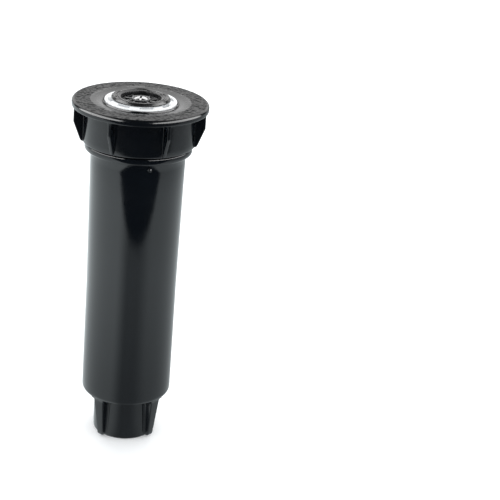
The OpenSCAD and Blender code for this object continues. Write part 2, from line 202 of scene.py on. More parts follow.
def finish_start(name, **shader):
    """A material with its shader and its Object coordinates. Plain numbers and colours go on
    the shader's own sockets, with _ for a space in the socket's name."""
    material = bpy.data.materials.new(name)
    material.use_nodes = True
    tree = material.node_tree
    surface = tree.nodes["Principled BSDF"]
    for key, value in shader.items():
        surface.inputs[key.replace("_", " ")].default_value = value
    return material, tree, surface, tree.nodes.new("ShaderNodeTexCoord").outputs["Object"]


def drive(tree, surface, **values):
    """Joins node outputs to the shader's own sockets, with _ for a space in the socket's name."""
    for key, value in values.items():
        tree.links.new(value, surface.inputs[key.replace("_", " ")])


def noise(tree, where, scale, detail=3, rough=0.5, stretch=None):
    """Noise of that many lumps a metre, 0 to 1; stretch scales it along x, y and z."""
    if stretch:
        where = node(tree, "Mapping", {"Vector": where, "Scale": stretch}).outputs["Vector"]
    return node(tree, "TexNoise", {"Vector": where, "Scale": scale, "Detail": detail,
                                   "Roughness": rough}).outputs["Fac"]


def spread(tree, value, low, high, out_low, out_high):
    """value's run from low to high laid smoothly over out_low to out_high."""
    return node(tree, "MapRange", {"Value": value, "From Min": low, "From Max": high,
                                   "To Min": out_low, "To Max": out_high},
                interpolation_type="SMOOTHSTEP").outputs["Result"]


def sums(tree, kind, a, b):
    """a and b joined by one sum: ADD, MULTIPLY or ARCTAN2."""
    found = node(tree, "Math", operation=kind)
    for socket, value in zip(found.inputs, (a, b)):
        if isinstance(value, bpy.types.NodeSocket):
            tree.links.new(value, socket)
        else:
            socket.default_value = value
    return found.outputs["Value"]


def off_axis(tree, where):
    """Distance from the object's upright axis, in metres: the length of where with no height."""
    flat = node(tree, "VectorMath", {0: where, 1: (1, 1, 0)}, operation="MULTIPLY")
    return node(tree, "VectorMath", {0: flat.outputs["Vector"]}, operation="LENGTH").outputs["Value"]


def mould_skin(tree, surface, where, rough, peel, scuffs):
    """The skin a mould leaves: roughness runs over rough (low, high) with faint drag lines along
    the draw, and an orange peel lies over it. Both are given back to be built on."""
    drag = noise(tree, where, 900, 2, stretch=(1, 1, 0.03))
    smear = noise(tree, where, 130, 5, 0.6)
    matte = spread(tree, smear, 0.35, 0.75, rough[0], rough[1])
    matte = sums(tree, "ADD", matte, spread(tree, drag, 0.55, 0.8, 0, scuffs * rough[1]))
    waves = sums(tree, "MULTIPLY", noise(tree, where, 190, 3), 2.5)
    skin = sums(tree, "ADD", noise(tree, where, 2600, 2), waves)
    bump = node(tree, "Bump", {"Strength": peel, "Distance": 0.0004, "Height": skin})
    drive(tree, surface, Roughness=matte, Normal=bump.outputs["Normal"])
    return matte, bump


def moulded(name, dark, light, rough, peel=0.02, scuffs=0.12, **shader):
    """Moulded plastic, whose colour drifts from dark to light in slow clouds under its skin."""
    material, tree, surface, where = finish_start(name, **shader)
    clouds = noise(tree, where, 42, 4)
    drive(tree, surface, Base_Color=ramp(tree, clouds, [(0.3, dark), (0.72, light)]))
    matte, bump = mould_skin(tree, surface, where, rough, peel, scuffs)
    return material, tree, surface, where, matte, bump


black_dark, black_light = (0.0022, 0.0031, 0.0044), (0.0036, 0.0047, 0.0064)
case_finish = moulded("case_black_gloss", black_dark, black_light, (0.06, 0.11))[0]

low, high = (np.array(corner) * 1000 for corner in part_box("case_body"))
foot, neck_top = low[2], high[2]
collar = neck_top - 15.4
shoulder, case_floor, collar_top = foot + 19.2, foot + 21.2, collar + 2.8
boss_r, tube_r, collar_r, neck_r = 13.75, 19.4, 22.6, 20.6
inlet_r, waterway_r, bore_r, neck_bore_r = 9.13, 8.4, 17.4, 18.4
pipe_pitch, cap_pitch, ridge_root, ridge_crest = 1.814, 4, 0.9, 0.42
case_outline = rounded([
    (inlet_r + 1, foot, 0.2), (boss_r, foot, 1.15), (boss_r, shoulder, 0.5),
    (tube_r, shoulder, 2.4), (tube_r, foot + 70, 90), (20.05, collar, 0.35),
    (collar_r, collar, 0.8), (collar_r, collar_top, 0.4), (neck_r, collar_top, 0.3),
    (neck_r, neck_top, 0.45), (neck_bore_r, neck_top, 0.35), (neck_bore_r, collar_top, 0.2),
    (bore_r, collar + 0.8, 0.6), (bore_r, case_floor, 1.2), (waterway_r, case_floor, 0.5),
    (waterway_r, foot + 15.3, 0.1), (inlet_r, foot + 14.5, 0.1), (inlet_r, foot + 1, 0.15)])
case_outline = divided(case_outline, 4, lambda r, z: (
    ((np.abs(r - neck_r) < 0.1) & (z > collar_top + 0.2))
    | ((np.abs(r - inlet_r) < 0.07) & (z < shoulder))), 0.24)


def case_threads(r, a, z):
    """Cuts a straight pipe thread 1.05 mm into the inlet's wall, a wave with flat crests and
    roots that climbs pipe_pitch a turn, and raises the cap's ridge on the neck by 1.2 mm."""
    wave = np.abs((z / pipe_pitch - a / (2 * np.pi)) % 1 - 0.5) * 2
    inlet = near(r, inlet_r - 0.02, inlet_r + 0.02, 0.01) * near(z, foot + 1.5, foot + 14, 0.5)
    r = r + inlet * 1.05 * np.clip(wave * 1.5 - 0.25, 0, 1)
    neck = near(r, neck_r - 0.02, neck_r + 0.02, 0.01) * (z > collar_top + 0.2)
    height = ridge(a, z, np.radians(97), collar + 4.3, cap_pitch, 2.4, ridge_root, ridge_crest)
    return r + neck * 1.2 * height, a, z


shells = [(turned(case_outline, 256, case_threads), True)]
lug_z = foot + np.array([0.75, 0.95, 1.3, 1.8, 4, 7, 10, 13, 16, 18, 18.8, 19.25, 19.5, 19.9])
rise = (lug_z - foot) / (shoulder - foot)
start_in = np.pad([1.0, 0.45, 0.15], (0, len(lug_z) - 3))
flare_out = np.pad([0.1, 0.4, 0.9, 0.9], (len(lug_z) - 4, 0))
lug_out = 15.7 + 2.2 * rise - start_in + flare_out * 0.5
lug_half = 1.5 + 1.1 * rise - start_in * 0.5 + flare_out
for turn in np.radians(90 * np.arange(4) - 41):
    shells.append((gusset(lug_z, boss_r - 0.15, lug_out, lug_half, turn, 0.7, 0.45), False))

ribs, rib_turn = 8, 11
rib_gap = 360 / ribs
rib_z = np.array([foot + 20.9, collar - 0.9, collar - 0.4, collar - 0.15])
rib_reach = np.array([0.85, 0.85, 0.7, 0.4])
rib = gusset(rib_z, 0, rib_reach, 1.2, 0, 0.15, 0.25)
for i in range(ribs):
    turn = np.radians(rib_turn + rib_gap * i)
    shells.append((facing(turn, bore_r + 0.05 + rib[..., 1], rib[..., 0], rib[..., 2]), False))

pip_turn, pip_z, pip_root = np.radians(15), collar - 2.6, 19.95
pip_r = np.array([1.25, 0.95, 0.8, 0.7, 0.4, 0.12])
pip_out = np.array([-0.3, 0.05, 0.3, 0.55, 0.72, 0.75])
spin = np.linspace(0, 2 * np.pi, 24, endpoint=False)
side, up = pip_r[:, None] * np.cos(spin), pip_z + pip_r[:, None] * np.sin(spin)
shells.append((facing(pip_turn, pip_root + pip_out[:, None], side, up), False))
made("case_body_shell", shells, case_finish, "case", ["case_body"])

# ---- Cap --------------------------------------------------------------------------------
# Black ABS cap that screws down over the neck and holds the seal. The top has a spark
# textured ring round a plainer band, and seven fins under the rim give a hand its grip.

cap_low, cap_high = (np.array(corner) * 1000 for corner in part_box("cap"))
top, skirt = cap_high[2], cap_low[2]
under, brim_under, sill = top - 3.2, top - 2.75, top - 0.2
hole_r, band_r, skirt_bore_r, skirt_r, brim_r = 15.45, 21, 22.1, 23.8, 28.575
grain_r = (21.05, 27.35)
rng = np.random.default_rng(11)
cells, cells_a_mm, blur = 640, 10, 3.2
field = np.fft.rfft2(rng.standard_normal((cells, cells)))
waves = np.fft.fftfreq(cells)[:, None] ** 2 + np.fft.rfftfreq(cells)[None] ** 2
field = np.fft.irfft2(field * np.exp(-waves * 2 * (np.pi * blur) ** 2), s=(cells, cells))
field = np.clip(field / field.std() * 0.55 + 0.5, 0, 1)


def grain(x, y):
    """Height, 0 to 1, of the spark texture: white noise blurred over a third of a millimetre,
    clipped, and read between its cells of 0.1 mm by weights of the nearer cells."""
    middle = cells / 2
    u, v = (x * cells_a_mm + middle) % cells, (y * cells_a_mm + middle) % cells
    i, j = u.astype(int), v.astype(int)
    fu, fv = u - i, v - j
    i, j, i1, j1 = i % cells, j % cells, (i + 1) % cells, (j + 1) % cells
    return ((field[i, j] * (1 - fu) + field[i1, j] * fu) * (1 - fv)
            + (field[i, j1] * (1 - fu) + field[i1, j1] * fu) * fv)


cap_outline = rounded([
    (hole_r, under, 0.2), (skirt_bore_r, under, 0.3), (skirt_bore_r, skirt + 1, 0.3),
    (22.5, skirt, 0.2), (skirt_r, skirt, 1), (skirt_r, brim_under, 0.7),
    (28.5, brim_under, 0.35), (brim_r, top, 2.35), (band_r, top, 0.4), (16.1, top - 0.7, 0.08),
    (15.93, sill, 0.12), (hole_r, sill, 0.12)], 6)
cap_outline = divided(cap_outline, 2.2, lambda r, z: ((z > top - 0.01) & (r > grain_r[0] - 0.3))
                      | ((np.abs(r - skirt_bore_r) < 0.1) & (z < under - 0.3)), 0.26)


def cap_skin(r, a, z):
    """Sinks the spark texture up to 0.27 mm into the top between its two radii, with a shallow
    step at the inner one, and raises the screw ridge 1.15 mm inwards from the skirt's wall."""
    on_top = (z > top - 0.02) * near(r, grain_r[0], grain_r[1], 0.12)
    z = z - on_top * (0.03 + 0.24 * grain(r * np.cos(a), r * np.sin(a)))
    inside = near(r, skirt_bore_r - 0.02, skirt_bore_r + 0.02, 0.01) * (z < under - 0.2)
    height = ridge(a, z, np.radians(7), skirt + 2.2, cap_pitch, 2.3, ridge_root, ridge_crest)
    return r - inside * 1.15 * height, a, z


shells = [(turned(cap_outline, 640, cap_skin), True)]
fin_z = skirt + np.array([0.45, 0.6, 0.9, 1.4, 3, 5, 7, 8.2, 8.8, 9.4, 11, 13, 14.2, 14.6, 14.95, 15.3])
slope = np.clip((fin_z - skirt - 0.6) / 8.2, 0, 1)
start_in = np.pad([1.0, 0.45, 0.15], (0, len(fin_z) - 3))
flare_out = np.pad([0.08, 0.25, 0.6, 0.6], (len(fin_z) - 4, 0))
fin_out, fin_half = 24.75 + 3.15 * slope - start_in * 0.6, 0.65 - start_in * 0.25 + flare_out
fins = 7
for i in range(fins):
    turn = 2 * np.pi * (i + 0.5) / fins
    shells.append((gusset(fin_z, skirt_r - 0.08, fin_out, fin_half, turn, 0.45, 0.3), False))

cap_finish, tree, surface, where, matte, bump = moulded(
    "cap_black", black_dark, black_light, (0.12, 0.19))
radius = off_axis(tree, where)
height = node(tree, "SeparateXYZ", {"Vector": where}).outputs["Z"]
face = spread(tree, height, (top - 0.6) / 1000, (top - 0.25) / 1000, 0, 1)
ring = sums(tree, "MULTIPLY", spread(tree, radius, 0.0209, 0.0211, 0, 1),
            spread(tree, radius, 0.0272, 0.0276, 1, 0))
ring = sums(tree, "MULTIPLY", face, ring)
duller = sums(tree, "MULTIPLY", sums(tree, "ADD", face, ring), 0.14)
spark = node(tree, "Bump", {"Strength": sums(tree, "MULTIPLY", ring, 0.35), "Distance": 0.0003,
                            "Height": noise(tree, where, 3000, 3, 0.6),
                            "Normal": bump.outputs["Normal"]})
drive(tree, surface, Roughness=sums(tree, "ADD", matte, duller), Normal=spark.outputs["Normal"])
made("cap_shell", shells, cap_finish, "cap", ["cap"], crease=50)

# ---- Foot of the riser, ratchet and foot seal ---------------------------------------------
# Acetal foot pressed into the stem, with saw teeth that click against the toothed ring above
# it. The ring slides on the case's ribs. A rubber washer under the foot stops low drainage.

acetal_finish = moulded("dark_acetal", (0.012, 0.013, 0.014), (0.022, 0.023, 0.024), (0.3, 0.42),
                        0.04)[0]
teeth, tooth_high, teeth_in, teeth_out = 24, 1.2, 12.4, 15.2


def saw(a):
    """One tooth after another: 0 to 1 along four fifths of the pitch, then a steep drop."""
    share = (a * teeth / (2 * np.pi)) % 1
    return np.where(share < 0.8, share / 0.8, np.clip(1 - (share - 0.8) / 0.04, 0, 1))


tooth_shares = np.array([0.002, 0.2, 0.4, 0.6, 0.78, 0.8, 0.82, 0.84, 0.92])
tooth_angles = (np.arange(teeth)[:, None] + tooth_shares).ravel() * 2 * np.pi / teeth
foot_low, foot_high = (np.array(corner) * 1000 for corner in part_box("riser_foot"))
flange, sleeve_r, foot_bore_r = foot_low[2] + 2.8, 9.45, 8.6
outline = rounded([
    (foot_bore_r, foot_low[2], 0.3), (15.6, foot_low[2], 0.6), (15.6, flange, 0.35),
    (teeth_out, flange, 0.02), (teeth_out, flange + tooth_high, 0.08),
    (teeth_in, flange + tooth_high, 0.08), (teeth_in, flange, 0.1), (sleeve_r, flange, 0.05),
    (sleeve_r, foot_high[2], 0.5), (foot_bore_r, foot_high[2], 0.2)])


def foot_teeth(r, a, z):
    """Lowers the band on the flange to the saw teeth."""
    return r, a, np.where((z > flange) & (r > teeth_in - 0.2), flange + (z - flange) * saw(a), z)


made("riser_foot_piece", [(turned(divided(outline, 2), tooth_angles, foot_teeth), True)],
     acetal_finish, "riser", ["riser_foot"])

ring_low, ring_high = (np.array(corner) * 1000 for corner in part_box("ratchet_ring"))
teeth_top, ring_r, ring_bore_r = ring_low[2] + tooth_high, 17.1, 11.85
outline = rounded([
    (ring_bore_r, teeth_top, 0.2), (teeth_in, teeth_top, 0.05),
    (teeth_in, teeth_top - tooth_high, 0.08), (teeth_out, teeth_top - tooth_high, 0.08),
    (teeth_out, teeth_top, 0.05), (ring_r, teeth_top, 0.3), (ring_r, ring_high[2], 0.3),
    (ring_bore_r, ring_high[2], 0.3)])
notch_turns = np.radians(rib_gap * np.arange(ribs) + rib_turn - 90)
notch_angles = (notch_turns[:, None] + np.radians([-6, -5.6, -5.4, -5, 5, 5.4, 5.6, 6])).ravel()
ring_angles = np.unique(np.concatenate([tooth_angles, notch_angles]) % (2 * np.pi))


def ring_shape(r, a, z):
    """Hangs the saw teeth under the ring and lets its rim in at the eight ribs of the case."""
    hung = teeth_top - (teeth_top - z) * saw(-a)
    z = np.where((z < teeth_top) & (r > teeth_in - 0.2) & (r < teeth_out + 0.2), hung, z)
    off = np.abs((np.degrees(a) + 90 - rib_turn + rib_gap / 2) % rib_gap - rib_gap / 2)
    notch = np.clip((5.7 - off) / 0.3, 0, 1)
    return np.where(r > 16.2, r - notch * (r - 16.2) * 0.97, r), a, z


made("ratchet_ring_piece", [(turned(divided(outline, 1.5), ring_angles, ring_shape), True)],
     acetal_finish, "ratchet", ["ratchet_ring"])

rubber_finish, tree, surface, where = finish_start("seal_rubber", Specular_IOR_Level=0.35)
grey_black = ramp(tree, noise(tree, where, 220, 4), [(0.35, (0.010, 0.010, 0.011)),
                                                     (0.7, (0.019, 0.019, 0.02))])
bump = node(tree, "Bump", {"Strength": 0.12, "Distance": 0.0003,
                           "Height": noise(tree, where, 5200, 3)})
drive(tree, surface, Base_Color=grey_black, Normal=bump.outputs["Normal"],
      Roughness=spread(tree, noise(tree, where, 900, 4), 0.3, 0.7, 0.5, 0.72))


def washer(name, cad_node, body, finish, soft):
    """Ring in its CAD solid's place, its four corners rounded by soft. Its walls stand at the
    least and the greatest distance of the solid's points from the axis."""
    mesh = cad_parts[cad_node].data
    points = np.empty(len(mesh.vertices) * 3, np.float32)
    mesh.vertices.foreach_get("co", points)
    points = points.reshape(-1, 3) * 1000
    reach = np.hypot(points[:, 0], points[:, 1])
    inner, outer, z0, z1 = reach.min(), reach.max(), points[:, 2].min(), points[:, 2].max()
    outline = divided(rounded([(inner, z0, soft), (outer, z0, soft), (outer, z1, soft),
                               (inner, z1, soft)]), 0.6)
    made(name, [(turned(outline), True)], finish, body, [cad_node])


washer("foot_seal_washer", "foot_seal", "riser", rubber_finish, 0.35)

# ---- Riser stem and spring ----------------------------------------------------------------
# White tube that the water lifts through the cap, and the stainless spring round it that
# pulls it down again. The spring's top coil stays under the seal, so the coil rides with the seal pack.

white_dark, white_light = (0.5, 0.51, 0.51), (0.58, 0.59, 0.585)
stem_finish = moulded("riser_white", white_dark, white_light, (0.26, 0.4), 0.03, 0.25,
                      Subsurface_Weight=0.12, Subsurface_Radius=(0.004, 0.004, 0.004),
                      Subsurface_Scale=0.3)[0]
stem_low, stem_high = (np.array(corner) * 1000 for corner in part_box("riser_stem"))
stem_bore_r, stem_r = 9.5, 11.5
outline = divided(rounded([
    (stem_bore_r, stem_low[2], 0.3), (stem_r, stem_low[2], 0.4), (stem_r, stem_high[2], 0.4),
    (stem_bore_r, stem_high[2], 0.3)]), 4)
made("riser_stem_tube", [(turned(outline), True)], stem_finish, "riser",
     ["riser_stem"])

steel_finish, tree, surface, where = finish_start("spring_steel", Metallic=1.0)
steel_grey = ramp(tree, noise(tree, where, 260, 3), [(0.3, (0.42, 0.42, 0.43)),
                                                     (0.75, (0.6, 0.6, 0.61))])
drive(tree, surface, Base_Color=steel_grey,
      Roughness=spread(tree, noise(tree, where, 1400, 3), 0.35, 0.7, 0.22, 0.36))
spring_low, spring_high = (np.array(corner) * 1000 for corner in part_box("retract_spring"))
wire, coil, coils = 1.2, 13.4, 9.5
closed = wire * 1.04
open_high = spring_high[2] - spring_low[2] - wire - 2 * closed
turns = np.linspace(0, coils, int(coils * 56) + 1)
middle = spring_low[2] + wire / 2 + np.interp(turns, [0, 1, coils - 1, coils], [
    0, closed, closed + open_high, 2 * closed + open_high])
round_wire = np.linspace(0, 2 * np.pi, 14, endpoint=False)
ends = np.clip(np.minimum(turns, coils - turns) / 0.006, 0.62, 1)[:, None]
r = coil + wire / 2 * ends * np.cos(round_wire)
grid = np.stack([r * np.cos(2 * np.pi * turns)[:, None], r * np.sin(2 * np.pi * turns)[:, None],
                 middle[:, None] + wire / 2 * ends * np.sin(round_wire)], -1)
spring = made("retract_spring_coil", [(grid, False)], steel_finish, "seal_pack",
              ["retract_spring"], crease=60)
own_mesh(spring)
washer("spring_seat_washer", "spring_seat", "seal_pack", steel_finish, 0.2)

# ---- Seal under the cap -------------------------------------------------------------------
# Rubber cup whose lip wipes the stem, the stiff ring that keeps its shape and carries the
# spring's pull, and the flat gasket between that ring and the neck.

keeper_low, keeper_high = (np.array(corner) * 1000 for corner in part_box("seal_retainer"))
keep_z, brim = keeper_low[2], keeper_high[2]
outline = divided(rounded([
    (12.4, keep_z, 0.2), (18.1, keep_z, 0.5), (18.1, brim - 1, 0.2), (20.3, brim - 1, 0.2),
    (20.3, brim, 0.25), (17, brim, 0.2), (17, keep_z + 1, 0.3), (12.4, keep_z + 1, 0.2)]), 1.2)
made("seal_retainer_cup", [(turned(outline), True)], acetal_finish, "seal_pack",
     ["seal_retainer"])
lip_low, lip_high = (np.array(corner) * 1000 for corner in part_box("wiper_seal"))
z0, z1 = lip_low[2], lip_high[2]
outline = divided(rounded([
    (12.05, z0, 0.15), (16.98, z0, 0.3), (16.98, brim, 0.15), (20.1, brim, 0.25), (20.1, z1, 0.3),
    (15.78, z1, 0.3), (15.58, z1 - 0.8, 0.2), (15.58, z0 + 2.2, 0.6), (14.78, z0 + 1.3, 0.5),
    (12.95, z0 + 1.3, 0.4), (12.45, z0 + 3.2, 0.15), (11.55, z0 + 3.2, 0.06),
    (11.55, z0 + 2.6, 0.1)]), 0.8)
made("wiper_seal_cup", [(turned(outline), True)], rubber_finish, "seal_pack",
     ["wiper_seal"])
washer("cap_gasket_washer", "cap_gasket", "seal_pack", rubber_finish, 0.3)

# ---- Riser head ---------------------------------------------------------------------------
# White acetal collar snapped round the stem's top. Eight lugs stand in from its rim, so that
# a thumbnail or a key can lift the riser to change the nozzle.

head_finish, tree, surface, where = finish_start("head_white")
mould_skin(tree, surface, where, (0.22, 0.34), 0.03, 0.1)
# Painted shade: inside 12.25 mm of the axis the core's wall and top are painted grey, standing in for
# the shade under the nozzle's flange; noise varies how deep the grey goes.
painted_pocket_shade = spread(tree, off_axis(tree, where), 0.01225, 0.01255, 1, 0)
shade_mottle = spread(tree, noise(tree, where, 700, 4), 0.2, 0.7, 0.75, 1)
drive(tree, surface, Base_Color=ramp(tree, sums(tree, "MULTIPLY", painted_pocket_shade, shade_mottle), [
    (0, (0.93, 0.93, 0.93)), (1, (0.5, 0.51, 0.52))]))
head_low, head_high = (np.array(corner) * 1000 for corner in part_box("riser_head"))
head_foot, head_top = head_low[2], head_high[2]
shelf = stem_high[2] + 1.3
rim_top, pocket_z = head_top - 0.35, head_top - 1.55
head_r, pocket_r, core_r, core_bore_r = 15.1, 13.75, 12.2, 11.5
base = [(stem_r + 0.02, shelf, 0.1), (stem_r + 0.02, head_foot, 0.2), (head_r, head_foot, 0.5),
        (head_r, rim_top, 0.45), (pocket_r, rim_top, 0.25)]
core = [(core_r, head_top, 0.2), (core_bore_r, head_top, 0.1), (core_bore_r, shelf, 0.01)]
lug_wall = [(pocket_r - 0.25, rim_top + 0.05, 0.05), (core_r + 0.2, head_top - 0.05, 0.05)]
pocket_wall = [(pocket_r, pocket_z, 0.2), (core_r, pocket_z, 0.15)]


def sampled(corners):
    """Closed outline through corners (radius, height, fillet) with six points at each corner, so
    that outlines with as many corners blend. A corner is the parabola between the places that
    are fillet away from it on its edges, or 0.45 of the shorter edge if that is less."""
    k = np.linspace(0, 1, 6)[None, :, None]
    corners = np.array(corners, float)
    c, fillet = corners[:, :2], corners[:, 2:3]
    u, v = np.roll(c, 1, 0) - c, np.roll(c, -1, 0) - c
    lu, lv = (np.linalg.norm(edge, axis=1, keepdims=True) for edge in (u, v))
    cut = np.minimum(fillet, 0.45 * np.minimum(lu, lv))
    a, b = (c + u / lu * cut)[:, None], (c + v / lv * cut)[:, None]
    return ((1 - k) ** 2 * a + 2 * k * (1 - k) * c[:, None] + k**2 * b).reshape(-1, 2)


lug_line, pocket_line = sampled(base + lug_wall + core), sampled(base + pocket_wall + core)
lugs, lug_turn = 8, 34
lug_gap = 360 / lugs
period = np.concatenate([np.linspace(-8, 8, 9), np.linspace(8.6, 11, 7), np.linspace(12.5, 32.5, 11),
                         np.linspace(34, 36.4, 7)])
head_angles = np.radians((np.arange(lugs)[:, None] * lug_gap + period + lug_turn - 90).ravel())
share = np.tile(np.clip((np.abs(period - lug_gap / 2) - 11.5) / -2.4 + 1, 0, 1), lugs)
share = (share * share * (3 - 2 * share))[:, None, None]
blend = lug_line[None] * (1 - share) + pocket_line[None] * share
grid = np.stack([blend[..., 0] * np.cos(head_angles)[:, None],
                 blend[..., 0] * np.sin(head_angles)[:, None], blend[..., 1]], -1)
made("riser_head_collar", [(grid, True)], head_finish, "riser", ["riser_head"])

# ---- Nozzle ---------------------------------------------------------------------------------
# Spray nozzle of satin black plastic: the base screws into the stem, the flanged collar turns
# on it to set the arc, and the fluted deflector stays still in the middle.

nozzle_finish = moulded("nozzle_black_satin", (0.004, 0.0045, 0.0055), (0.008, 0.0085, 0.0095),
                        (0.2, 0.34), 0.08)[0]
deflector_finish, tree, surface, where = finish_start("deflector_black_gloss")
mould_skin(tree, surface, where, (0.1, 0.18), 0.03, 0.12)
# Painted highlight: the rib crests, from 0.8 mm below the deflector's top upwards, are painted lighter
# to stand in for the light the flutes catch.
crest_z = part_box("deflector")[1][2]
painted_crest_highlight = spread(tree, node(tree, "SeparateXYZ", {"Vector": where}).outputs["Z"], crest_z - 0.0008,
                crest_z - 0.0004, 0, 1)
drive(tree, surface, Base_Color=ramp(tree, painted_crest_highlight, [(0, (0.0014, 0.0015, 0.0018)),
                                                    (1, (0.035, 0.036, 0.038))]))

flange_low, flange_high = (np.array(corner) * 1000 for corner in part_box("arc_collar"))
face_z, collar_z = flange_high[2], flange_low[2]
grip_r, flange_r, collar_bore_r = 10.6, 12.25, 7.45
outline = rounded([
    (collar_bore_r, collar_z, 0.15), (grip_r, collar_z, 0.2), (grip_r, face_z - 1.3, 0.1),
    (grip_r + 0.2, face_z - 1.1, 0.1), (flange_r, face_z - 1.1, 0.12),
    (flange_r, face_z - 0.85, 0.1), (11.6, face_z, 0.12), (11.35, face_z, 0.08),
    (8.9, face_z - 0.5, 0.1), (8.5, face_z - 0.62, 0.1), (8.46, face_z - 2.45, 0.1),
    (collar_bore_r, face_z - 2.8, 0.1)])
outline = divided(outline, 1.2, lambda r, z: (z > face_z - 0.6) & (r > 8.8) & (r < 11.6), 0.12)


def collar_marks(r, a, z):
    """Raises three arcs and a pointer 0.26 mm on the sloping face, each between two radii and
    two turns in degrees, and 40 low grip ribs on the neck under the flange."""
    turn = (np.degrees(a) + 90) % 360
    on_face = (z > face_z - 0.75) & (r > 8.7) & (r < 11.7)
    mark = near(r, 9.1, 11, 0.12) * near(turn, 300, 305, 0.8)
    for inner, outer, first, last in (9.3, 9.75, 35, 165), (10.3, 10.7, 60, 285), (9.3, 9.75, 250, 335):
        mark = np.maximum(mark, near(r, inner, outer, 0.12) * near(turn, first, last, 1.2))
    z = z + on_face * 0.26 * mark
    neck = near(r, grip_r - 0.02, grip_r + 0.02, 0.01) * near(z, collar_z + 0.5, face_z - 1.9, 0.2)
    return r + neck * 0.25 * np.clip(np.cos(a * 40) * 2 - 0.4, 0, 1), a, z


made("arc_collar_ring", [(turned(outline, 480, collar_marks), True)], nozzle_finish, "arc_collar",
     ["arc_collar"])

deflector_low, deflector_high = (np.array(corner) * 1000 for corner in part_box("deflector"))
hub_top, disc_z = deflector_high[2], deflector_low[2] + 3
disc_top = disc_z + 1
screw_bore_r, hub_r, disc_r, ledge = 1.5, 3.9, 7.2, hub_top - 1.05
outline = rounded([
    (screw_bore_r, deflector_low[2], 0.1), (hub_r, deflector_low[2], 0.2), (hub_r, disc_z, 0.15),
    (disc_r, disc_z, 0.15), (disc_r, disc_top, 0.2), (6.72, disc_top, 0.05),
    (6.7, hub_top - 0.3, 0.3), (hub_r + 0.05, hub_top - 0.3, 0.1), (hub_r, hub_top, 0.3),
    (3.05, hub_top, 0.15), (3.05, ledge, 0.1), (screw_bore_r, ledge, 0.1)])
outline = divided(outline, 0.5, lambda r, z: (r > hub_r) & (z > disc_top - 0.1), 0.22)
flutes = 10
flute_gap = 360 / flutes
flute_period = np.array([-18, -15, -12, -9.5, -8.5, -7.5, -6.6, -5.8, -5, -4.2, -3.4, -2.6, -1.4, 0,
                         1.4, 2.6, 3.4, 4.2, 5, 5.8, 6.6, 7.5, 8.5, 9.5, 12, 15])
flute_angles = np.radians((np.arange(flutes)[:, None] * flute_gap + flute_period - 90).ravel())


def fluted(r, a, z):
    """Leaves the outline's full height only along ten ribs with rounded tops, 0.84 mm thick at
    the foot, and sinks a water slot 0.8 mm into the disc between each two ribs."""
    turn = np.degrees(a) + 90
    from_rib = np.radians((turn + flute_gap / 2) % flute_gap - flute_gap / 2) * r
    from_slot = np.abs(np.radians(turn % flute_gap - flute_gap / 2) * r)
    crest = np.sqrt(np.clip(1 - (from_rib / 0.42) ** 2, 0, 1)) ** 0.6
    outside = r > hub_r + 0.06
    z = np.where(outside & (z > disc_top), disc_top + (z - disc_top) * crest, z)
    on_disc = outside & (r < 6.7) & (np.abs(z - disc_top - 0.05) < 0.15)
    return r, a, z - on_disc * 0.8 * near(r, 4.8, 6.3, 0.15) * near(from_slot, -1, 0.5, 0.15)


made("deflector_piece", [(turned(outline, flute_angles, fluted), True)], deflector_finish, "riser",
     ["deflector"])


def coated(cad_node, finish):
    """Gives a CAD node that shows as it is its one finish."""
    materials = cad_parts[cad_node].data.materials
    materials.clear()
    materials.append(finish)


coated("nozzle_base", nozzle_finish)
coated("nozzle_gasket", rubber_finish)
coated("throttle_plug", stem_finish)

# ---- Radius screw ---------------------------------------------------------------------------
# Stainless screw with a low domed head and one slot, turned on a lathe. It stays in its place
# and drives the throttle plug below it.

screw_finish, tree, surface, where = finish_start("screw_steel", Metallic=1.0)
rings = sums(tree, "MULTIPLY", off_axis(tree, where), 9000.0)
lathe = node(tree, "TexNoise", {"W": rings, "Scale": 1.0, "Detail": 2},
             noise_dimensions="1D").outputs["Fac"]
bright = ramp(tree, noise(tree, where, 500, 3), [(0.3, (0.62, 0.62, 0.62)),
                                                 (0.75, (0.78, 0.78, 0.78))])
bump = node(tree, "Bump", {"Strength": 0.15, "Distance": 0.0001, "Height": lathe})
drive(tree, surface, Base_Color=bright, Normal=bump.outputs["Normal"],
      Roughness=spread(tree, lathe, 0.3, 0.7, 0.1, 0.2))
screw_low, screw_high = (np.array(corner) * 1000 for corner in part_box("radius_screw"))
screw_r, head_high, shank_r = screw_high[0], 1.5, 1.42
slot_half, slot_deep, slot_turn = 0.42, 0.8, np.radians(84)
head_foot = screw_high[2] - head_high


def domed(r):
    """Height of the head over its foot: a dome that falls 0.45 mm by the square of the radius's
    share and 0.3 mm by its fourth power."""
    k = r / screw_r
    return head_high - 0.45 * k**2 - 0.3 * k**4


share = np.linspace(-1, 1, 61)
across = screw_r * np.sin(np.pi / 2 * share) * 0.9999
slot_edges = slot_half + np.array([-0.015, 0, 0.04])
across = across[np.abs(across) > slot_half + 0.05]
across = np.sort(np.concatenate([across, slot_edges, -slot_edges]))
reach = np.sqrt(screw_r**2 - across**2)[:, None]
along = reach * np.sin(np.pi / 2 * np.linspace(-1, 1, 41))[None]
in_slot = (np.abs(across) < slot_half - 0.005)[:, None]
crown = domed(np.hypot(across[:, None], along)) - in_slot * (slot_deep - 0.1 * (along / screw_r) ** 2)
outline = np.hstack([along, along[:, ::-1]])
height = np.hstack([crown, 0 * along])
head_grid = facing(slot_turn, across[:, None], outline, head_foot + height)
shank_top = head_foot + 0.3
shank = rounded([(0.3, screw_low[2], 0.02), (shank_r, screw_low[2], 0.3),
                 (shank_r, shank_top, 0.02), (0.3, shank_top, 0.02)])
made("radius_screw_turned", [(head_grid, False), (turned(shank, 64), True)], screw_finish,
     "radius_screw", ["radius_screw"], crease=32)

# ---- Filter -----------------------------------------------------------------------------------
# Open basket of natural nylon under the nozzle, with a fine woven sleeve inside it that
# stops grit on its way to the nozzle.

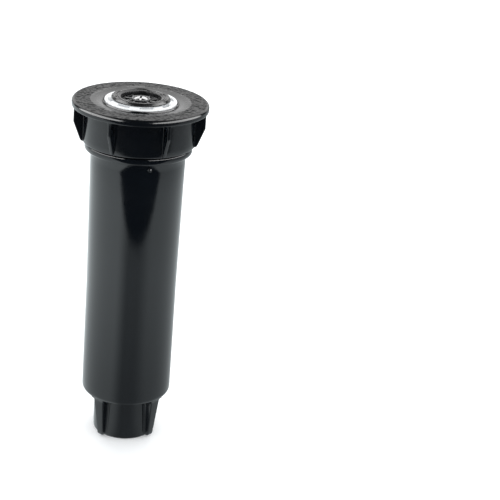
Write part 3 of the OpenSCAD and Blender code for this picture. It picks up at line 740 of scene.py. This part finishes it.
basket_finish = moulded("filter_nylon", (0.6, 0.62, 0.62), (0.72, 0.74, 0.74), (0.3, 0.45), 0.04)[0]
coated("filter_basket", basket_finish)
mesh_low, mesh_high = (np.array(corner) * 1000 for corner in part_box("filter_mesh"))
sleeve_in, sleeve_out = 6.47, 6.83
outline = divided(rounded([
    (sleeve_in, mesh_low[2], 0.05), (sleeve_out, mesh_low[2], 0.05),
    (sleeve_out, mesh_high[2], 0.05), (sleeve_in, mesh_high[2], 0.05)], 2), 0.22)


def weave(r, a, z):
    """Over and under of threads half a millimetre apart: a cosine round the sleeve times a
    cosine up it moves the wall 0.05 mm out and in, about a middle 0.02 mm further in."""
    return r + 0.05 * np.cos(a * 80) * np.cos(z * np.pi / 0.5) - 0.02, a, z


sleeve_finish, tree, surface, where = finish_start("filter_screen")
pale = ramp(tree, noise(tree, where, 2000, 2), [(0.3, (0.55, 0.57, 0.58)),
                                               (0.75, (0.7, 0.72, 0.73))])
drive(tree, surface, Base_Color=pale,
      Roughness=spread(tree, noise(tree, where, 4000, 2), 0.3, 0.7, 0.4, 0.6))
made("filter_sleeve", [(turned(outline, 240, weave), True)], sleeve_finish, "riser",
     ["filter_mesh"], crease=80)

# ---- Floor, lights and camera -------------------------------------------------------------------
# White table under a soft light at the back and an even sky. The sheet under it is what the
# glossy plastic mirrors: a table lit less in front than at its sides, which ends in the dark.
# Two panels at the sides show only in gloss.

floor_mesh = bpy.data.meshes.new("floor")
half_floor, sheet_drop = 6, 0.0002
floor_corners = [(x * half_floor, y * half_floor, 0) for x, y in ((-1, -1), (1, -1), (1, 1), (-1, 1))]
floor_mesh.from_pydata(floor_corners, [], [(0, 1, 2, 3)])
floor = bpy.data.objects.new("floor", floor_mesh)
sheet_mesh = floor_mesh.copy()
sheet_mesh.transform(Matrix.Translation((0, 0, -sheet_drop)))
sheet = bpy.data.objects.new("mirrored_table", sheet_mesh)
for item in (floor, sheet):
    bpy.context.scene.collection.objects.link(item)
floor_finish, tree, surface, where = finish_start("table_white", Emission_Color=(1, 1, 1, 1),
                                                  Emission_Strength=0.2)
white = ramp(tree, noise(tree, where, 3, 2), [(0.3, (0.86, 0.86, 0.86)), (0.7, (0.9, 0.9, 0.9))])
drive(tree, surface, Base_Color=white,
      Roughness=spread(tree, noise(tree, where, 30, 2), 0.3, 0.7, 0.5, 0.6))
floor.data.materials.append(floor_finish)
floor.visible_glossy = False

sheet_finish, tree, surface, where = finish_start("mirrored_table")
tree.nodes.remove(surface)
parts = node(tree, "SeparateXYZ", {"Vector": where})
across, along = parts.outputs["X"], parts.outputs["Y"]
flat = node(tree, "VectorMath", {0: where}, operation="LENGTH").outputs["Value"]
bearing = sums(tree, "ARCTAN2", across, sums(tree, "MULTIPLY", along, -1.0))
left = spread(tree, bearing, -0.68, -0.12, 1.08, 0)
right = spread(tree, bearing, 0.22, 0.85, 0, 0.5)
right = sums(tree, "MULTIPLY", right, spread(tree, flat, 0.3, 0.45, 1.0, 0.2))
glow = sums(tree, "ADD", sums(tree, "ADD", left, right), 0.54)
glow = sums(tree, "MULTIPLY", glow, spread(tree, flat, 0.3, 0.45, 1.0, 0.75))
# Dimmer within 0.22 m of the axis: a painted shadow of the sprinkler on the mirrored table.
glow = sums(tree, "MULTIPLY", glow, spread(tree, flat, 0.02, 0.22, 0.62, 1.0))
edge_turn = np.radians(8)
forward = sums(tree, "ADD", sums(tree, "MULTIPLY", across, float(np.sin(edge_turn))),
               sums(tree, "MULTIPLY", along, -float(np.cos(edge_turn))))
glow = sums(tree, "MULTIPLY", glow, spread(tree, forward, 0.2375, 0.241, 1.0, 0.0))
lamp = node(tree, "Emission", {"Color": (0.92, 1.0, 1.02, 1), "Strength": glow})
tree.links.new(lamp.outputs["Emission"], tree.nodes["Material Output"].inputs["Surface"])
sheet.data.materials.append(sheet_finish)
for ray in ("camera", "diffuse", "shadow", "transmission", "volume_scatter"):
    setattr(sheet, "visible_" + ray, False)

world = bpy.data.worlds.new("studio")
bpy.context.scene.world = world
world.use_nodes = True
world.node_tree.nodes["Background"].inputs["Color"].default_value = (0.97, 1.0, 1.02, 1)
world.node_tree.nodes["Background"].inputs["Strength"].default_value = 1.2
world.cycles_visibility.glossy = False


def softbox(name, place, aim, width, height, radiance, only_mirrored=False):
    """Area light of that radiance: its power is radiance times area times pi. Only mirrored,
    it shows in gloss and lights nothing else."""
    light = bpy.data.lights.new(name, "AREA")
    light.shape, light.size, light.size_y = "RECTANGLE", width, height
    light.energy = radiance * width * height * np.pi
    lamp = bpy.data.objects.new(name, light)
    lamp.location = place
    lamp.rotation_euler = (Vector(aim) - Vector(place)).to_track_quat("-Z", "Y").to_euler()
    lamp.visible_camera = False
    lamp.visible_diffuse = not only_mirrored
    bpy.context.scene.collection.objects.link(lamp)


softbox("back_light", (0, 1.3, 0.8), (0, 0, 0.1), 2.6, 1.3, 1.35)
softbox("left_panel", (-1.2, -0.75, 0.85), (0, -0.75, 0.85), 2.7, 1.4, 8, only_mirrored=True)
softbox("right_panel", (1.2, -1.2, 0.85), (0, -1.2, 0.85), 3.6, 1.4, 7, only_mirrored=True)

aim, rise, away = Vector((0, 0, 0.076)), np.radians(23.0425), 0.64722
back = Vector((0, -np.cos(rise), np.sin(rise)))
right_way = Vector((1, 0, 0))
basis = Matrix((right_way, back.cross(right_way), back)).transposed()
pan, tilt, roll = np.radians([-4.4868, 0.99635, 2.96711])
basis = basis @ (Matrix.Rotation(pan, 3, "Y") @ Matrix.Rotation(tilt, 3, "X")
                 @ Matrix.Rotation(roll, 3, "Z"))
camera = bpy.data.objects.new("camera", bpy.data.cameras.new("camera"))
camera.data.lens, camera.data.sensor_width = 107.26, 36
camera.data.clip_start, camera.data.clip_end = 0.01, 30
camera.matrix_world = Matrix.Translation(aim + back * away) @ basis.to_4x4()
bpy.context.scene.collection.objects.link(camera)
bpy.context.scene.camera = camera
bpy.context.scene.view_settings.view_transform = "Standard"
